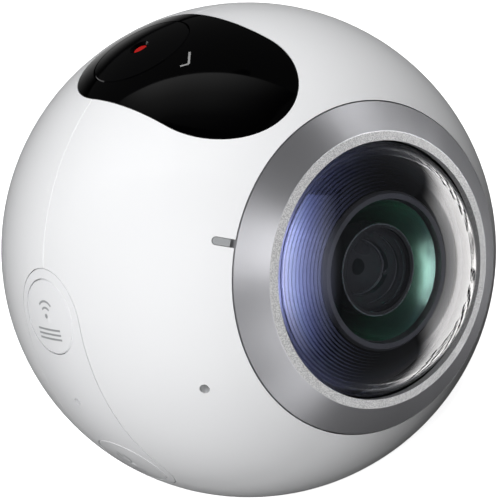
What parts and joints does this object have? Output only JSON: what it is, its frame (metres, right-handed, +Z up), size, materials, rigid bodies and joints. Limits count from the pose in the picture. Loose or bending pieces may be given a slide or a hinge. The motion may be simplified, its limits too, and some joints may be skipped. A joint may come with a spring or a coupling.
{
  "type": "360 degree camera",
  "caption": "Ball-shaped camera with a fisheye lens on each side, round keys, a black display panel, a side door over the battery and card, and a tripod thread.",
  "frame": {"origin": "centre of the tripod thread's mouth, level with the rubber foot's lower face", "axes": "+Z up out of the round key on top, front lens looks along -Y, the two side keys are on -X and the battery door on +X"},
  "size_m": [0.06, 0.0666, 0.0562],
  "materials": {
    "shell_white": "smooth white moulded plastic with a soft satin gloss",
    "panel_white": "white moulded plastic panel",
    "key_white": "white moulded key with grey printed signs",
    "panel_black": "polished black display window",
    "key_black": "polished black key",
    "lamp_red": "red light diffuser",
    "ring_metal": "satin anodised ring with a bright cut bezel",
    "dome_glass": "coated optical glass",
    "inner_glass": "coated optical glass",
    "baffle_black": "black ridged light trap",
    "retainer_grey": "dark anodised ring",
    "cell_black": "black moulding",
    "barrel_black": "black anodised tube",
    "sensor_board": "circuit board with a sensor chip",
    "seal_rubber": "soft black seal",
    "steel": "plated steel",
    "switch_body": "black switch body",
    "display_glass": "dark display glass",
    "flex_amber": "flexible circuit film",
    "chassis_grey": "dark moulded frame",
    "can_metal": "plated sheet metal",
    "light_grey": "smoked light bar",
    "base_grey": "grey moulded plate",
    "foot_rubber": "soft dark foot",
    "battery_wrap": "printed film over a cell",
    "contact_gold": "gold plated metal",
    "board_green": "circuit board",
    "card_black": "black memory card"
  },
  "bodies": {
    "camera_body": {"back_switch": "switch_body", "base_foot": "foot_rubber", "base_plate": "base_grey", "base_screws": "steel", "battery": "battery_wrap", "battery_contacts": "contact_gold", "board_screws": "steel", "board_standoffs": "contact_gold", "buzzer": "cell_black", "card_socket": "can_metal", "chassis": "chassis_grey", "display_module": "display_glass", "door_hinge_pin": "steel", "front_dome_lens": "dome_glass", "front_image_sensor": "sensor_board", "front_inner_lens": "inner_glass", "front_lens_barrel": "barrel_black", "front_lens_cell": "cell_black", "front_lens_ring": "ring_metal", "front_light_baffle": "baffle_black", "front_retaining_ring": "retainer_grey", "front_ring_seal": "seal_rubber", "front_shell": "shell_white", "front_status_light": "light_grey", "lens_screws": "steel", "main_board": "board_green", "menu_switch": "switch_body", "microphones": "switch_body", "ok_switch": "switch_body", "plug_socket": "can_metal", "port_board": "board_green", "rear_dome_lens": "dome_glass", "rear_image_sensor": "sensor_board", "rear_inner_lens": "inner_glass", "rear_lens_barrel": "barrel_black", "rear_lens_cell": "cell_black", "rear_lens_ring": "ring_metal", "rear_light_baffle": "baffle_black", "rear_retaining_ring": "retainer_grey", "rear_ring_seal": "seal_rubber", "rear_shell": "shell_white", "rear_status_light": "light_grey", "shell_screws": "steel", "side_board": "flex_amber", "side_panel": "panel_white", "switch_bracket": "chassis_grey", "top_board": "board_green", "top_panel": "panel_black", "tripod_nut": "steel"},
    "ok_key": {"ok_button": "key_black", "record_lamp": "lamp_red"},
    "menu_key": {"menu_button": "key_white"},
    "back_key": {"back_button": "key_white"},
    "door": {"battery_door": "shell_white", "door_seal": "seal_rubber"},
    "card": {"memory_card": "card_black"}
  },
  "joints": [
    {"name": "ok_press", "type": "slide", "parent": "camera_body", "child": "ok_key", "axis": [0, 0, -1], "range_m": [0, 0.00035], "stiffness_N_per_m": 3000},
    {"name": "menu_press", "type": "slide", "parent": "camera_body", "child": "menu_key", "axis": [0.9311, 0, -0.3649], "range_m": [0, 0.00035], "stiffness_N_per_m": 3000},
    {"name": "back_press", "type": "slide", "parent": "camera_body", "child": "back_key", "axis": [0.9311, 0, 0.3649], "range_m": [0, 0.00035], "stiffness_N_per_m": 3000},
    {"name": "door_hinge", "type": "hinge", "parent": "camera_body", "child": "door", "pos_m": [0.0259, 0.01473, 0.0262], "axis": [0, 0, 1], "range_deg": [0, 105]},
    {"name": "card_slide", "type": "slide", "parent": "camera_body", "child": "card", "axis": [1, 0, 0], "range_m": [-0.0007, 0.0025]}
  ]
}
